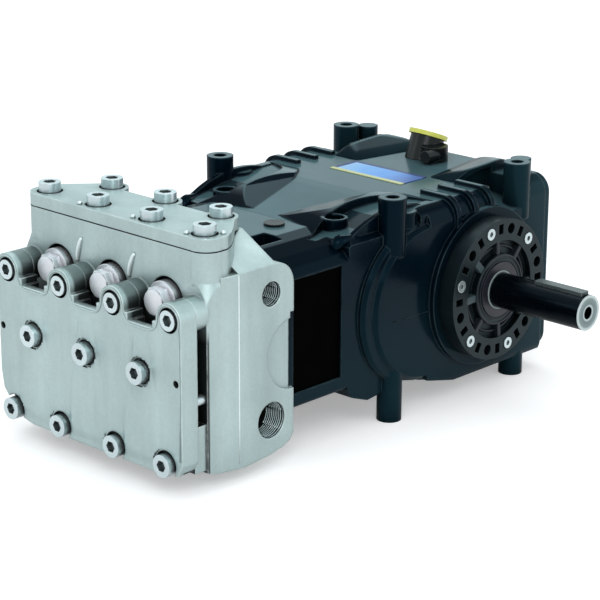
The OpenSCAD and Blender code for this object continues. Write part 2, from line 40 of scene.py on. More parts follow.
CASE_SIDE = 165.0
CASE_TOP = 264.0
BLOCK_FRONT = -445.0
BLOCK_SIDE = 162.0
BLOCK_EDGE_Y = -398.8
PARTING_Z = 284.0
TOP_COVER_Z = 299.6
COVER_FACE = -488.0
MID_Z, LOW_Z, EAR_Z = 143.0, 40.5, 214.0
MID_XS = (-93.5, 0.0, 93.5)
LOW_XS = (-133.0, -47.5, 47.5, 133.0)
EAR_XS = (-140.0, -46.0, 46.0, 140.0)
PORT_Y = -346.0
DISCHARGE_Z, DISCHARGE_R = 217.5, 15.15
SUCTION_Z, SUCTION_R = 63.0, 22.4
SHAFT_Y, SHAFT_Z, SHAFT_R = 35.0, 144.0, 22.5
SHAFT_END = 333.0
JOURNAL_END = 230.0
HUB_FACE = 194.5
HOLLOW_FLOOR = 185.4


# Shader helpers

def ramp(tree, source, stops):
    """Colour ramp over a share from 0 to 1, with a number or a colour at each stop."""
    n = tree.nodes.new("ShaderNodeValToRGB")
    els = n.color_ramp.elements
    while len(els) < len(stops):
        els.new(0.5)
    for e, (pos, val) in zip(els, stops):
        e.position = pos
        e.color = (*val, 1.0) if isinstance(val, tuple) else (val, val, val, 1.0)
    tree.links.new(source, n.inputs[0])
    return n.outputs[0]


def math_node(tree, op, a, b=None, clamp=False):
    n = tree.nodes.new("ShaderNodeMath")
    n.operation = op
    n.use_clamp = clamp
    for i, v in enumerate((a, b)):
        if v is None:
            continue
        if hasattr(v, "is_output"):
            tree.links.new(v, n.inputs[i])
        else:
            n.inputs[i].default_value = v
    return n.outputs[0]


def ramp_mm(tree, source, stops):
    """Colour ramp over a length, with its stops in millimetres."""
    low, high = stops[0][0], stops[-1][0]
    past = math_node(tree, "SUBTRACT", source, low * MM)
    share = math_node(tree, "MULTIPLY", past, 1 / ((high - low) * MM))
    return ramp(tree, share, [((mm - low) / (high - low), val) for mm, val in stops])


def mixed(tree, fac, a, b, mode="MIX"):
    n = tree.nodes.new("ShaderNodeMix")
    n.data_type = "RGBA"
    n.blend_type = mode
    ins = {s.identifier: s for s in n.inputs}
    out = [o for o in n.outputs if o.identifier == "Result_Color"][0]
    for key, v in (("Factor_Float", fac), ("A_Color", a), ("B_Color", b)):
        if hasattr(v, "is_output"):
            tree.links.new(v, ins[key])
        elif key == "Factor_Float":
            ins[key].default_value = v
        else:
            ins[key].default_value = (*v, 1.0)
    return out


def noise_tex(tree, coord, scale, detail=3.0, rough=0.5, stretch=None):
    src = coord
    if stretch:
        m = tree.nodes.new("ShaderNodeMapping")
        m.inputs["Scale"].default_value = stretch
        tree.links.new(coord, m.inputs["Vector"])
        src = m.outputs[0]
    n = tree.nodes.new("ShaderNodeTexNoise")
    n.inputs["Scale"].default_value = scale
    n.inputs["Detail"].default_value = detail
    n.inputs["Roughness"].default_value = rough
    tree.links.new(src, n.inputs["Vector"])
    return n.outputs["Fac"]


def split_xyz(tree, vector):
    n = tree.nodes.new("ShaderNodeSeparateXYZ")
    tree.links.new(vector, n.inputs[0])
    return n.outputs


def drifting_colour(t, coord, base, blotch):
    """Base colour with large pale and dark patches and fine specks."""
    dark = tuple(c * (1 - blotch) for c in base)
    pale = tuple(min(1.0, c * (1 + blotch)) for c in base)
    big = noise_tex(t, coord, 9.0, 4.0, 0.55)
    colour = mixed(t, ramp(t, big, [(0.34, 0.0), (0.66, 1.0)]), dark, pale)
    speck = ramp(t, noise_tex(t, coord, 260.0, 3.0, 0.6), [(0.3, 0.93), (0.7, 1.0)])
    return mixed(t, 1.0, colour, speck, "MULTIPLY")


def painted_top_sheen(t, coord, colour, normal, sheen, spec, bsdf):
    """Painted sheen on level faces, paler in patches, and less shine on the slopes beside them."""
    up = split_xyz(t, normal)[2]
    level = ramp(t, up, [(0.978, 0.0), (0.992, 1.0)])
    shine = ramp(t, up, [(0.60, spec), (0.78, 0.1 * spec), (0.970, 0.1 * spec), (0.985, spec)])
    t.links.new(shine, bsdf.inputs["Specular IOR Level"])
    veil = ramp(t, noise_tex(t, coord, 7.0, 3.0, 0.5), [(0.3, 0.7), (0.7, 1.0)])
    # painted sheen: level faces take a paler colour that stands in for light from above
    return mixed(t, math_node(t, "MULTIPLY", level, veil), colour, sheen)


def worn_and_highlit_edges(t, coord, colour, normal, wear_and_highlight, wear_and_highlight_amount):
    """Paler colour where the rounded normal departs from the face's own: rubbed wear and painted highlight
    on edges.
    """
    dot = t.nodes.new("ShaderNodeVectorMath")
    dot.operation = "DOT_PRODUCT"
    t.links.new(normal, dot.inputs[0])
    t.links.new(t.nodes.new("ShaderNodeNewGeometry").outputs["Normal"], dot.inputs[1])
    # the pale edge colour is partly rubbed wear and partly painted highlight
    edge = ramp(t, dot.outputs["Value"], [(0.72, 1.0), (0.985, 0.0)])
    patch = ramp(t, noise_tex(t, coord, 38.0, 4.0, 0.6), [(0.38, 0.25), (0.62, 1.0)])
    amount = math_node(t, "MULTIPLY", math_node(t, "MULTIPLY", edge, patch), wear_and_highlight_amount, True)
    return mixed(t, amount, colour, wear_and_highlight)


def painted_hollow_shade(t, colour, hollow_shade):
    # painted shade: colour darkened by ambient occlusion in hollows, creases and between parts
    ao = t.nodes.new("ShaderNodeAmbientOcclusion")
    ao.samples = 5
    ao.inputs["Distance"].default_value = 26.0 * MM
    shade = ramp(t, ao.outputs["AO"], [(0.15, 1.0 - hollow_shade), (0.85, 1.0)])
    return mixed(t, 1.0, colour, shade, "MULTIPLY")


def bumped(t, coord, normal, cast, grain, brushed):
    """Casting unevenness and fine grain on top of the rounded normal."""
    for height, strength, distance in (
            (noise_tex(t, coord, 42.0, 3.0, 0.5), cast, 1.2 * MM),
            (noise_tex(t, coord, 700.0, 2.0, 0.6, brushed), grain, 0.2 * MM)):
        if strength <= 0:
            continue
        b = t.nodes.new("ShaderNodeBump")
        b.inputs["Strength"].default_value = strength
        b.inputs["Distance"].default_value = distance
        t.links.new(height, b.inputs["Height"])
        if normal is not None:
            t.links.new(normal, b.inputs["Normal"])
        normal = b.outputs[0]
    return normal


def surface(name, base, metallic=0.0, rough=0.4, spec=0.5, tint=None, bevel=1.5, wear_and_highlight=None,
            wear_and_highlight_amount=0.5, cast=0.0, grain=0.0, blotch=0.12, hollow_shade=0.4, brushed=None, rough_var=0.08,
            paint=None, top=None):
    """One worn, slightly uneven surface.

    Its colour drifts, its edges are rounded, rubbed and given painted highlight, its hollows get painted
    shade, and level faces can get painted sheen.
    """
    mat = bpy.data.materials.new(name)
    mat.use_nodes = True
    t = mat.node_tree
    bsdf = t.nodes["Principled BSDF"]
    coord = t.nodes.new("ShaderNodeTexCoord").outputs["Object"]
    colour = drifting_colour(t, coord, base, blotch)
    if paint:
        colour = paint(t, coord, colour)
    normal = None
    if bevel:
        rounding = t.nodes.new("ShaderNodeBevel")
        rounding.samples = 6
        rounding.inputs["Radius"].default_value = bevel * MM
        normal = rounding.outputs[0]
        # painted sheen on level faces, in the colour top
        if top:
            colour = painted_top_sheen(t, coord, colour, normal, top, spec, bsdf)
        if wear_and_highlight:
            colour = worn_and_highlit_edges(t, coord, colour, normal, wear_and_highlight, wear_and_highlight_amount)
    if hollow_shade:
        colour = painted_hollow_shade(t, colour, hollow_shade)
    t.links.new(colour, bsdf.inputs["Base Color"])
    bsdf.inputs["Metallic"].default_value = metallic
    bsdf.inputs["IOR"].default_value = 1.5
    if not top:
        bsdf.inputs["Specular IOR Level"].default_value = spec
    if tint:
        bsdf.inputs["Specular Tint"].default_value = (*tint, 1.0)
    low, high = max(0.03, rough - rough_var), min(1.0, rough + rough_var)
    scale, detail = (30.0, 3.0) if brushed else (26.0, 4.0)
    streak = noise_tex(t, coord, scale, detail, 0.6, brushed)
    t.links.new(ramp(t, streak, [(0.3, low), (0.7, high)]), bsdf.inputs["Roughness"])
    normal = bumped(t, coord, normal, cast, grain, brushed)
    if normal is not None:
        t.links.new(normal, bsdf.inputs["Normal"])
    return mat


# Paint of single surfaces

def plate_colours(t, coord, colour):
    """Blue in the middle, paler to one end, with a yellow strip in front and a dark strip at the back."""
    x, y, _ = split_xyz(t, coord)
    along = ramp_mm(t, x, [(-54.9, (0.30, 0.55, 0.85)), (-24.4, (0.16, 0.42, 0.85)),
                           (18.3, (0.10, 0.32, 0.78)), (54.9, (0.05, 0.13, 0.42))])
    front = math_node(t, "LESS_THAN", y, 1.2 * MM)
    back = math_node(t, "GREATER_THAN", y, 39.0 * MM)
    left = math_node(t, "LESS_THAN", x, -54.5 * MM)
    dark = mixed(t, math_node(t, "MAXIMUM", back, left), along, (0.012, 0.03, 0.16))
    return mixed(t, front, dark, (0.56, 0.60, 0.30))


def shaft_colours(t, coord, colour):
    """The turned end face and the shoulder at the seal are bare and bright, the rest is dark; the end face
    has rings of painted highlight at the hole and the rim, and painted shade between.
    """
    x, y, z = split_xyz(t, coord)
    dy = math_node(t, "SUBTRACT", y, SHAFT_Y * MM)
    dz = math_node(t, "SUBTRACT", z, SHAFT_Z * MM)
    r2 = math_node(t, "ADD", math_node(t, "MULTIPLY", dy, dy), math_node(t, "MULTIPLY", dz, dz))
    radius = math_node(t, "MULTIPLY", math_node(t, "SQRT", r2), 1 / (SHAFT_R * MM))
    # painted highlight and shade: rings on the end face, bright at the hole and the rim, dark between
    lit_rings = ramp(t, radius, [(0.36, (0.52, 0.60, 0.60)), (0.44, (0.42, 0.50, 0.50)),
                             (0.50, (0.17, 0.22, 0.22)), (0.80, (0.24, 0.30, 0.30)),
                             (0.88, (0.50, 0.58, 0.58)), (0.96, (0.60, 0.68, 0.68))])
    end_face = math_node(t, "GREATER_THAN", x, (SHAFT_END - 0.8) * MM)
    shoulder = math_node(t, "MULTIPLY", math_node(t, "GREATER_THAN", radius, 1.03),
                         math_node(t, "LESS_THAN", x, JOURNAL_END * MM))
    return mixed(t, shoulder, mixed(t, end_face, colour, lit_rings), (0.30, 0.36, 0.36))


def casing_colours(t, coord, colour):
    """Painted light: paler paint low down and towards the back, in patches."""
    _, y, z = split_xyz(t, coord)
    back = ramp_mm(t, y, [(11.5, 0.0), (177.0, 1.0)])
    low = ramp_mm(t, z, [(37.5, 0.45), (187.5, 0.0)])
    cloud = ramp(t, noise_tex(t, coord, 6.0, 3.0, 0.5), [(0.3, 0.5), (0.7, 1.0)])
    # painted light: the paler colour stands in for light on the lower and rear casing
    pale_light = math_node(t, "MULTIPLY", math_node(t, "MAXIMUM", back, low), cloud)
    return mixed(t, pale_light, colour, (0.012, 0.038, 0.046))


def head_colours(t, coord, colour):
    """Faint upright streaks, as on a blasted casting, and painted shade between front cover and block."""
    cover_half, notch_inset, notch_z = 154.5, 12.5, 190.0
    streak = ramp(t, noise_tex(t, coord, 22.0, 3.0, 0.6, (1.0, 1.0, 0.12)), [(0.3, 0.86), (0.7, 1.04)])
    colour = mixed(t, 1.0, colour, streak, "MULTIPLY")
    x, y, z = split_xyz(t, coord)
    # the painted shade ends short of the cover's sides, and sooner above the notches
    above = math_node(t, "GREATER_THAN", z, notch_z * MM)
    limit = math_node(t, "SUBTRACT", cover_half * MM, math_node(t, "MULTIPLY", above, notch_inset * MM))
    inside = math_node(t, "LESS_THAN", math_node(t, "ABSOLUTE", x), limit)
    between = ramp_mm(t, y, [(-483.0, 0.0), (-479.0, 1.0), (-448.0, 1.0), (-446.0, 0.0)])
    fading = ramp_mm(t, z, [(215.0, 1.0), (230.0, 0.6)])
    slit = math_node(t, "MULTIPLY", math_node(t, "MULTIPLY", between, inside), fading)
    on_block = ramp_mm(t, y, [(-448.0, 0.0), (-445.5, 1.0), (-442.5, 1.0), (-441.0, 0.0)])
    behind = math_node(t, "MULTIPLY", on_block, ramp_mm(t, z, [(180.0, 1.0), (195.0, 0.0)]))
    # painted shade: near black in the slit between cover and block and on the block's face behind the cover
    gap_shade = math_node(t, "MULTIPLY", math_node(t, "MAXIMUM", slit, behind), 0.9)
    return mixed(t, gap_shade, colour, (0.010, 0.012, 0.013))


# Materials by name

SURFACES = {
    # black_paint's top colour is painted sheen on level faces, and its pale edge colour is partly painted
    # highlight
    "black_paint": dict(base=(0.0010, 0.0050, 0.0095), rough=0.16, spec=0.11, tint=(0.3, 0.7, 1.0),
                        bevel=3.2, wear_and_highlight=(0.10, 0.145, 0.16), wear_and_highlight_amount=0.5, cast=0.07, grain=0.03,
                        hollow_shade=0.85, rough_var=0.05, paint=casing_colours, top=(0.068, 0.140, 0.160)),
    "black_cover": dict(base=(0.0045, 0.0080, 0.0100), rough=0.38, spec=0.35, tint=(0.6, 0.9, 1.0),
                        bevel=1.2, wear_and_highlight=(0.085, 0.105, 0.11), wear_and_highlight_amount=0.7, cast=0.12, grain=0.3,
                        hollow_shade=0.8),
    "black_plate": dict(base=(0.0003, 0.0003, 0.0004), rough=0.6, spec=0.01, bevel=1.0, grain=0.1,
                        hollow_shade=0.6),
    "head_silver": dict(base=(0.50, 0.615, 0.61), metallic=0.70, rough=0.40, bevel=2.8,
                        wear_and_highlight=(0.90, 0.98, 0.97), wear_and_highlight_amount=0.9, cast=0.20, grain=0.22, blotch=0.07,
                        hollow_shade=0.93, paint=head_colours),
    "bolt_steel": dict(base=(0.68, 0.78, 0.80), metallic=0.85, rough=0.3, bevel=0.9,
                       wear_and_highlight=(0.95, 0.99, 0.99), wear_and_highlight_amount=0.8, grain=0.15, blotch=0.08, hollow_shade=0.9),
    "plug_steel": dict(base=(0.90, 0.91, 0.95), metallic=0.75, rough=0.32, bevel=0.9,
                       wear_and_highlight=(0.97, 0.98, 0.99), wear_and_highlight_amount=0.8, grain=0.1, blotch=0.05, hollow_shade=0.92),
    "shaft_steel": dict(base=(0.0008, 0.0016, 0.0026), rough=0.24, spec=0.12, tint=(0.4, 0.75, 1.0),
                        bevel=1.6, wear_and_highlight=(0.3, 0.35, 0.35), wear_and_highlight_amount=0.8, grain=0.06, hollow_shade=0.3,
                        brushed=(1.0, 14.0, 14.0), paint=shaft_colours),
    "key_steel": dict(base=(0.10, 0.125, 0.125), metallic=0.4, rough=0.3, bevel=0.8,
                      wear_and_highlight=(0.6, 0.66, 0.66), wear_and_highlight_amount=0.9, grain=0.15),
    "plunger_ceramic": dict(base=(0.7, 0.69, 0.64), rough=0.15, bevel=0.6, grain=0.02, blotch=0.03),
    "seal_rubber": dict(base=(0.012, 0.012, 0.020), rough=0.40, bevel=0.8,
                        wear_and_highlight=(0.05, 0.052, 0.065), wear_and_highlight_amount=0.5, grain=0.3, hollow_shade=0.7),
    "plate_blue": dict(base=(0.12, 0.34, 0.8), metallic=0.2, rough=0.35, bevel=0.3, grain=0.05, hollow_shade=0.0,
                       paint=plate_colours),
    "cap_yellow": dict(base=(0.72, 0.74, 0.12), rough=0.35, bevel=1.0, wear_and_highlight=(0.9, 0.92, 0.45),
                       wear_and_highlight_amount=0.5, grain=0.1, blotch=0.06, hollow_shade=0.6),
    "neck_black": dict(base=(0.0020, 0.0035, 0.0042), rough=0.28, spec=0.3, bevel=1.6,
                       wear_and_highlight=(0.05, 0.06, 0.065), wear_and_highlight_amount=0.6, cast=0.1, grain=0.2, hollow_shade=0.8),
    # paler copy of head_silver: painted highlight on beads and ribs
    "highlit_silver": dict(base=(0.86, 0.95, 0.95), metallic=0.6, rough=0.35, bevel=0.0, grain=0.15,
                        blotch=0.04, hollow_shade=0.5),
    "gasket_dark": dict(base=(0.006, 0.008, 0.008), rough=0.7, spec=0.2, bevel=0.0, grain=0.2),
    "pin_steel": dict(base=(0.8, 0.9, 0.9), metallic=0.8, rough=0.25, bevel=0.5, grain=0.05),
    # the next two are paler copies of web_grey: painted light on the bearing cover
    "web_lit": dict(base=(0.050, 0.078, 0.088), rough=0.35, spec=0.3, bevel=0.8, grain=0.2, hollow_shade=0.3),
    "pad_lit": dict(base=(0.19, 0.26, 0.27), rough=0.4, spec=0.3, bevel=0.6, grain=0.2, hollow_shade=0.3),
    "web_grey": dict(base=(0.012, 0.018, 0.024), rough=0.35, spec=0.3, bevel=0.6, grain=0.2, hollow_shade=0.5),
    "thread_steel": dict(base=(0.55, 0.64, 0.64), metallic=0.85, rough=0.28, bevel=0.0, grain=0.05,
                         blotch=0.06, hollow_shade=0.9),
    # near-black copy of thread_steel: painted shade in the threads
    "thread_shade": dict(base=(0.003, 0.004, 0.005), rough=0.6, spec=0.1, bevel=0.0, grain=0.05, blotch=0.06,
                        hollow_shade=0.9),
}
M = {name: surface(name, **look) for name, look in SURFACES.items()}

# CAD nodes of each material; the others are of black_paint

NODES_OF = {
    "black_cover": ("drive_bearing_cover",),
    "black_plate": ("side_plate_right", "side_plate_left"),
    "head_silver": ("valve_block", "top_cover", "front_cover"),
    "bolt_steel": ("drive_cover_bolts", "blind_cover_bolts", "top_cover_front_bolts",
                   "top_cover_rear_bolts", "front_cover_ear_bolts", "front_cover_middle_bolts",
                   "front_cover_lower_bolts", "spacer_pegs"),
    "plug_steel": ("valve_plug_left", "valve_plug_middle", "valve_plug_right", "gland_housings"),
    "shaft_steel": ("drive_shaft",),
    "key_steel": ("shaft_key",),
    "plunger_ceramic": ("plungers",),
    "seal_rubber": ("shaft_seal",),
    "plate_blue": ("name_plate",),
    "cap_yellow": ("filler_cap",),
    "neck_black": ("filler_neck", "breather_block", "tie_screws", "chamber_plugs", "drain_plug",
                   "rear_cover_bolts"),
}
material_of = {node: name for name, names in NODES_OF.items() for node in names}
for node, o in nodes.items():
    m = M[material_of.get(node, "black_paint")]
    if o.data.materials:
        for i in range(len(o.data.materials)):
            o.data.materials[i] = m
    else:
        o.data.materials.append(m)


# Mesh helpers

def piece(name, verts, faces, mat, body="casing", smooth=True):
    """A mesh in millimetres, carried by a body of the frame."""
    me = bpy.data.meshes.new(name)
    me.from_pydata([Vector(v) * MM for v in verts], [], faces)
    me.validate()
    me.update()
    bm = bmesh.new()
    bm.from_mesh(me)
    bmesh.ops.recalc_face_normals(bm, faces=bm.faces)
    bm.to_mesh(me)
    bm.free()
    if smooth:
        for p in me.polygons:
            p.use_smooth = True
    o = bpy.data.objects.new(name, me)
    scene.collection.objects.link(o)
    me.materials.append(M[mat])
    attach(o, body)
    return o


def ring_faces(rows, count, closed=False):
    """Faces between neighbouring rings of count vertices each."""
    faces = []
    for i in range(rows if closed else rows - 1):
        j = (i + 1) % rows
        for k in range(count):
            after = (k + 1) % count
            faces.append((i * count + k, i * count + after, j * count + after, j * count + k))
    return faces


def lathe(profile, axis_point, axis, count=48, closed=True):
    """Turns (radius, height) pairs about an axis; returns verts and faces."""
    a = Vector(axis).normalized()
    u = a.orthogonal().normalized()
    v = a.cross(u)
    c = Vector(axis_point)
    verts = []
    for r, h in profile:
        for k in range(count):
            t = 2 * math.pi * k / count
            verts.append(c + a * h + (u * math.cos(t) + v * math.sin(t)) * r)
    return verts, ring_faces(len(profile), count, closed)


def tube(points, radii, count=10, up=(0, 0, 1)):
    """A rounded bead along points, with a radius at each."""
    verts = []
    pts = [Vector(p) for p in points]
    for i, p in enumerate(pts):
        d = (pts[min(i + 1, len(pts) - 1)] - pts[max(i - 1, 0)]).normalized()
        s = d.cross(Vector(up)).normalized()
        w = s.cross(d)
        for k in range(count):
            t = 2 * math.pi * k / count
            verts.append(p + (s * math.cos(t) + w * math.sin(t)) * radii[i])
    faces = ring_faces(len(pts), count)
    for row in (0, len(pts) - 1):
        verts.append(pts[row])
        c = len(verts) - 1
        for k in range(count):
            faces.append((c, row * count + k, row * count + (k + 1) % count))
    return verts, faces


def grid_faces(index):
    """Squares of a grid whose four corners are all there."""
    faces = []
    for (i, k) in list(index):
        q = [(i, k), (i + 1, k), (i + 1, k + 1), (i, k + 1)]
        if all(c in index for c in q):
            faces.append([index[c] for c in q])
    return faces


def arc(cx, cy, r, a0, a1, n):
    """Points on an arc from angle a0 to a1, in degrees."""
    return [(cx + r * math.cos(math.radians(a0 + (a1 - a0) * i / n)),
             cy + r * math.sin(math.radians(a0 + (a1 - a0) * i / n))) for i in range(n + 1)]


def ease(t):
    """A smooth step from 0 to 1."""
    t = max(0.0, min(1.0, t))
    return t * t * (3 - 2 * t)


# Threads in the four ports

def port_thread(name, side, z, r):
    """A helical thread just inside the bore, with painted shade in its roots and at its inner end."""
    depth, pitch, cut = 38.0, 2.9, 1.6
    inset, gap = 1.6, 0.02
    root_share, lit_share = 0.42, 0.72
    count, steps = 72, 6
    verts, dark = [], []
    rows = int(depth / pitch * steps)
    for i in range(rows + 1):
        start = min(1.0, i / (steps * 1.5))
        x = side * (BLOCK_SIDE - inset - i * pitch / steps)
        for k in range(count):
            t = 2 * math.pi * k / count
            crest = 1.0 - abs(2.0 * ((i / steps + k / count) % 1.0) - 1.0)
            rr = r - gap - cut * crest * start
            verts.append((x, PORT_Y + rr * math.cos(t), z + rr * math.sin(t)))
    for i in range(rows):
        for k in range(count):
            turn = ((i + 0.5) / steps + k / count) % 1.0
            # painted shade: roots and the inner rows take the near-black thread material
            dark.append(abs(2.0 * turn - 1.0) > root_share or i > rows * lit_share)
    o = piece(name, verts, ring_faces(rows + 1, count), "thread_steel", smooth=False)
    o.data.materials.append(M["thread_shade"])
    for p, d in zip(o.data.polygons, dark):
        p.material_index = 1 if d else 0


for label, side in SIDES:
    port_thread("discharge_thread_" + label, side, DISCHARGE_Z, DISCHARGE_R)
    port_thread("suction_thread_" + label, side, SUCTION_Z, SUCTION_R)


# Two short curved ribs on the front of the valve block

def front_rib(name, x_top, x_foot):
    """A bead that curves down from x_top to x_foot, thickest in the middle."""
    z_top, length, thick, steps = 262.0, 30.0, 3.3, 12
    pts, radii = [], []
    for i in range(steps + 1):
        s = i / steps
        x = x_top + (x_foot - x_top) * math.sin(s * math.pi / 2) ** 0.8
        pts.append((x, BLOCK_FRONT - 0.2, z_top - length * s))
        radii.append(thick * (0.35 + 0.65 * math.sin(math.pi * (0.12 + 0.76 * s))))
    v, f = tube(pts, radii, 12, up=(0, 1, 0))
    # painted highlight: the ribs are of a paler copy of the block's silver
    piece(name, v, f, "highlit_silver")


front_rib("front_rib_left", -52.0, -60.0)
front_rib("front_rib_right", 40.0, 30.0)


# Rounded upright edge between the front and each side of the valve block

def block_edge(name, side):
    """An upright bead that thins out at its top."""
    zs = (24, 80, 140, 200, 248, 252)
    radii = (1.0, 1.1, 1.1, 1.1, 1.0, 0.5)
    v, f = tube([(side * (BLOCK_SIDE - 0.3), BLOCK_EDGE_Y, z) for z in zs], radii, 10, up=(0, 1, 0))
    # painted highlight: the edge bead is of a paler copy of the block's silver
    piece(name, v, f, "highlit_silver")


for label, side in SIDES:
    block_edge("block_edge_" + label, side)


# Small pins on the top cover

def cover_pin(name, x, y):
    profile = [(0.05, 0.0), (3.2, 0.0), (3.2, 2.2), (2.6, 3.4), (1.5, 4.0), (0.05, 4.2)]
    v, f = lathe(profile, (x, y, TOP_COVER_Z), (0, 0, 1), 24, closed=False)
    piece(name, v, f, "pin_steel")


for i, (x, y) in enumerate([(-61, -439), (27, -435), (119, -438), (148.5, -409.5)]):
    cover_pin("cover_pin_%d" % (i + 1), x, y)


# Shallow relief on the face of the front cover: a band at each middle bolt, wider towards its foot

def cover_relief(x, z):
    """Height of the bands over the face."""
    height, top_z, foot_z = 2.2, 192.0, 32.0
    half_w = 11.0 + 19.0 * ease((190.0 - z) / 130.0)
    across = max(ease((half_w - abs(x - c)) / 8.0 + 0.5) for c in MID_XS)
    return height * across * ease((top_z - z) / 16.0) * ease((z - foot_z) / 14.0)


def relief_piece():
    step, sunk, least = 2.0, 0.12, 0.005
    x0, z0, wide, tall = -152, 31, 304, 162
    nx, nz = int(wide / step), int(tall / step)
    holes = [(c, MID_Z, 16.4) for c in MID_XS] + [(c, LOW_Z, 17.8) for c in LOW_XS]
    index, verts = {}, []
    for i in range(nx + 1):
        for k in range(nz + 1):
            x, z = x0 + i * step, z0 + k * step
            h = cover_relief(x, z)
            near = max(h, cover_relief(x - step, z), cover_relief(x + step, z), cover_relief(x, z - step),
                       cover_relief(x, z + step))
            if near < least or any(math.hypot(x - a, z - b) < r for a, b, r in holes):
                continue
            index[i, k] = len(verts)
            verts.append((x, COVER_FACE - h + sunk, z))
    piece("front_cover_relief", verts, grid_faces(index), "head_silver")


relief_piece()


# Rim bead round the ears and notches of the front cover

def cover_rim():
    """A bead along the upper edge of the face, from the left end to the right side."""
    ear_r, bead_r = 17.2, 1.15
    # half a notch, from the ear's centre to the flat floor
    flank = [(18.2, 209.0), (19.6, 204.5), (22.5, 200.0)]
    floor_half = [(19.0, 196.6), (14.0, 195.6)]
    rim = arc(EAR_XS[0], EAR_Z, ear_r, 200, 90, 12)
    for a, b in zip(EAR_XS, EAR_XS[1:]):
        c = (a + b) / 2
        rim += arc(a, EAR_Z, ear_r, 90, 8, 9)[1:]
        rim += [(a + x, z) for x, z in flank] + [(c - x, z) for x, z in floor_half]
        rim += [(c + x, z) for x, z in reversed(floor_half)] + [(b - x, z) for x, z in reversed(flank)]
        rim += arc(b, EAR_Z, ear_r, 172, 90, 9)
    rim += arc(EAR_XS[3], EAR_Z, ear_r, 90, -25, 12)[1:]
    rim += [(156.6, 200.0), (157.0, 190.0), (157.2, 120.0), (157.0, 50.0)]
    v, f = tube([(x, COVER_FACE - 0.1, z) for x, z in rim], [bead_r] * len(rim), 8, up=(0, 1, 0))
    piece("front_cover_rim", v, f, "head_silver")


cover_rim()


# Dark joint under the top cover

def cover_outline():
    """Right half of the cover's outline from the front middle to the rear middle, then mirrored."""
    fy = BLOCK_FRONT
    pts = [(0, fy), (60, fy), (130.8, fy)]
    pts += arc(135.5, fy + 21.5, 22, -95, 5, 10)
    pts += [(157.3, fy + 30), (156.5, fy + 35), (149.7, fy + 47), (138.5, fy + 61), (122, fy + 79)]
    pts += arc(93.5, fy + 86, 20, 40, 180, 10)
    pts += [(73, fy + 84), (20, fy + 84)]
    pts += arc(0, fy + 86, 20, 5, 89, 6)
    return pts + [(-x, y) for x, y in reversed(pts[1:])]


def cover_joint():
    """A thin ribbon that stands a little out of the parting line."""
    half, proud, sunk = 0.7, 0.22, 0.88
    middle = Vector((0, BLOCK_FRONT + 45))
    ring = cover_outline()
    v = []
    for x, y in ring:
        n = (Vector((x, y)) - middle).normalized()
        v += [(x + n.x * proud, y + n.y * proud, PARTING_Z + dz) for dz in (-half, half)]
        v += [(x - n.x * sunk, y - n.y * sunk, PARTING_Z + dz) for dz in (half, -half)]
    f = []
    for i in range(len(ring)):
        j = (i + 1) % len(ring)
        for a in range(4):
            b = (a + 1) % 4
            f.append((i * 4 + a, j * 4 + a, j * 4 + b, i * 4 + b))
    piece("top_cover_joint", v, f, "gasket_dark", smooth=False)


cover_joint()


# Smooth skin over the rear hoods, a little proud of their flat slopes

HOOD_Y, HOOD_R, HOOD_TOP = 116, 144, 280
HOOD_X, HOOD_Y0, HOOD_Y1 = 103.6, 21, 163
HOOD_FOOT_X, HOOD_FOOT_Y, HOOD_FOOT_Z, HOOD_TURN = 60, 56, 262.5, 10
HOOD_PROUD = 1.15


def soft_min(a, b, k):
    """The lesser of two heights, rounded over a width k where they cross."""
    h = max(0.0, min(1.0, 0.5 + 0.5 * (b - a) / k))
    return b + (a - b) * h - k * h * (1 - h)


def hood_height(x, y):
    """Height of the skin: steep at the foot, gentler from a bend on, and under the round rim."""
    t = math.radians(HOOD_TURN)
    d = (x - HOOD_FOOT_X) * math.cos(t) + (y - HOOD_FOOT_Y) * math.sin(t)
    bend_d, bend_z, run = 14.0, HOOD_FOOT_Z + 5.9, 58.0
    steep = HOOD_FOOT_Z + 0.42 * d
    gentle = bend_z + (HOOD_TOP + 1 - bend_z) / run * (d - bend_d)
    rim_z = HOOD_TOP - HOOD_R + math.sqrt(max(0.0, HOOD_R * HOOD_R - (y - HOOD_Y) ** 2))
    return soft_min(soft_min(steep, gentle, 2.0), rim_z, 3.0) + HOOD_PROUD


def hood_skin(name, side):
    """A grid over one hood, left out where it would sink into the casing, with a dipped outer edge."""
    step, least, dip, dip_w = 2.0, 0.12, 1.6, 4.0
    index, verts = {}, []
    nx, ny = int(HOOD_X / step), int((HOOD_Y1 - HOOD_Y0) / step)
    for i in range(nx + 1):
        for k in range(ny + 1):
            x, y = HOOD_X - i * step, HOOD_Y0 + k * step
            z = hood_height(x, y)
            if z < CASE_TOP + least:
                continue
            z -= dip * (1 - ease((HOOD_X - x) / dip_w))
            index[i, k] = len(verts)
            verts.append((side * x, y, z))
    piece(name, verts, grid_faces(index), "black_paint")


for label, side in SIDES:
    hood_skin("rear_hood_skin_" + label, side)


# Bearing cover: webs, a pad and a step in its ring-shaped hollow, and ridges on its hub

def ring_piece(name, r0, r1, x0, height):
    """A flat ring round the shaft with chamfered edges, sunk a little into the face at x0."""
    sunk, chamfer_z, shoulder = -0.6, height * 0.6, 0.3 * (r1 - r0)
    profile = [(r0, sunk), (r0, chamfer_z), (r0 + shoulder, height), (r1 - shoulder, height),
               (r1, chamfer_z), (r1, sunk)]
    v, f = lathe(profile, (x0, SHAFT_Y, SHAFT_Z), (1, 0, 0), 72)
    piece(name, v, f, "web_grey")


